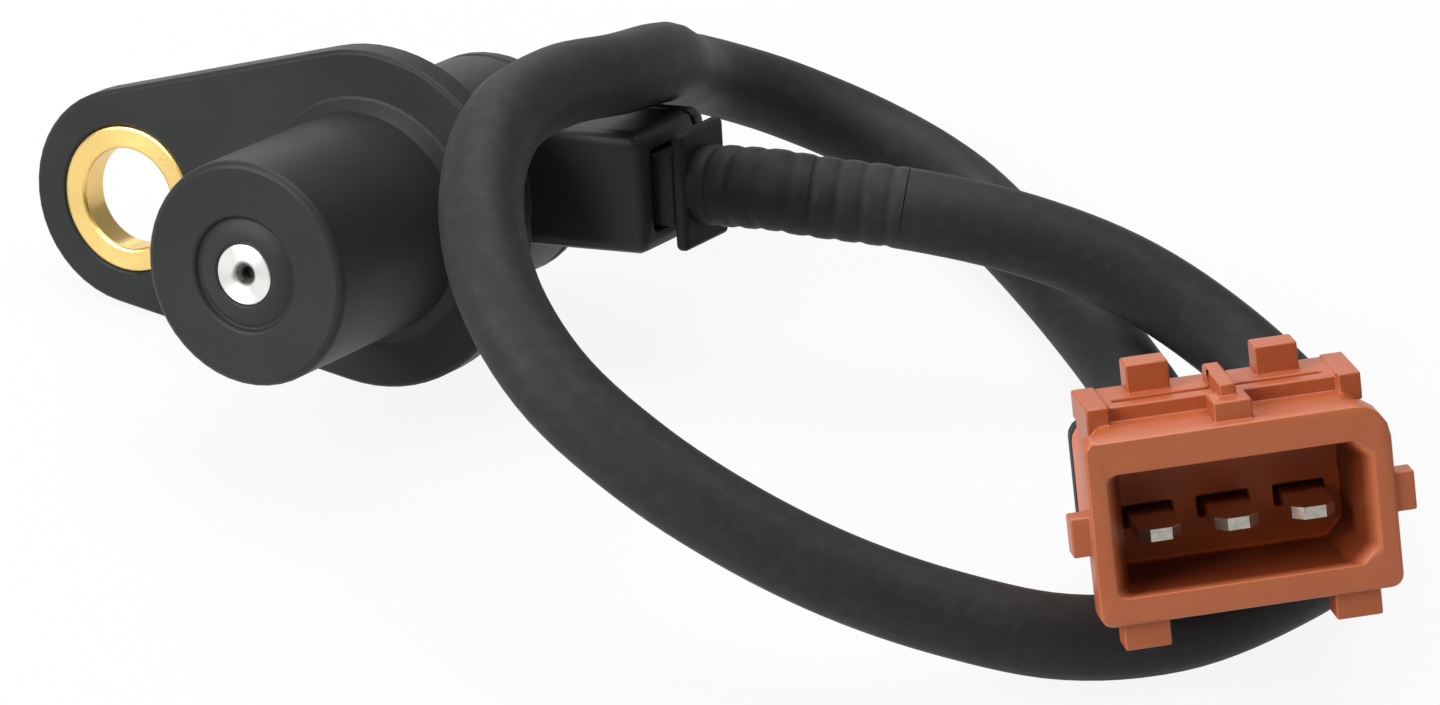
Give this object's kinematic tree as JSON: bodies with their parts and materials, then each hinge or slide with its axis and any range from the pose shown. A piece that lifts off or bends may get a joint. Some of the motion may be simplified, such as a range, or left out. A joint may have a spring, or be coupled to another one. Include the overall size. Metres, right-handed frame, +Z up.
{
  "type": "crankshaft position sensor",
  "caption": "Inductive pickup: round probe with a steel pole, a bolted flange ear with a metal bush, a side cable outlet, and a lead that ends in a keyed tab connector.",
  "frame": {"origin": "under the middle of the sensor itself, without its cable and connector, on the plane it lies on", "axes": "+X from the bolt ear towards the cable outlet, +Y from the probe's tip towards the back of the sensor, +Z up"},
  "size_m": [0.1051, 0.0626, 0.0277],
  "materials": {
    "black_plastic": "fine moulded grain, satin",
    "black_rubber": "matte extruded rubber",
    "orange_plastic": "moulded, slightly waxy",
    "white_plastic": "moulded natural nylon",
    "brass": "turned, bright",
    "steel": "bright turned end",
    "tinned": "tin-plated, bright",
    "magnet_grey": "sintered, ground",
    "copper": "enamelled copper wire",
    "core_1": "coloured insulation",
    "core_2": "coloured insulation",
    "core_3": "coloured insulation"
  },
  "bodies": {
    "root": {"sensor_housing": "black_plastic", "rear_cover": "black_plastic", "mounting_bush": "brass", "pole_pin": "steel", "coil_bobbin": "white_plastic", "coil_winding": "copper", "magnet": "magnet_grey", "yoke_disc": "steel", "terminal_carrier": "white_plastic", "lead_terminal_1": "tinned", "lead_terminal_2": "tinned", "lead_terminal_3": "tinned", "lead_core_1": "core_1", "lead_core_2": "core_2", "lead_core_3": "core_3", "cable_gland": "black_rubber", "strain_relief": "black_rubber", "cable": "black_rubber", "connector_housing": "orange_plastic", "contact_tab_1": "tinned", "contact_tab_2": "tinned", "contact_tab_3": "tinned", "terminal_lock": "white_plastic", "connector_core_1": "core_1", "connector_core_2": "core_2", "connector_core_3": "core_3", "cable_boot": "black_rubber"}
  },
  "joints": []
}
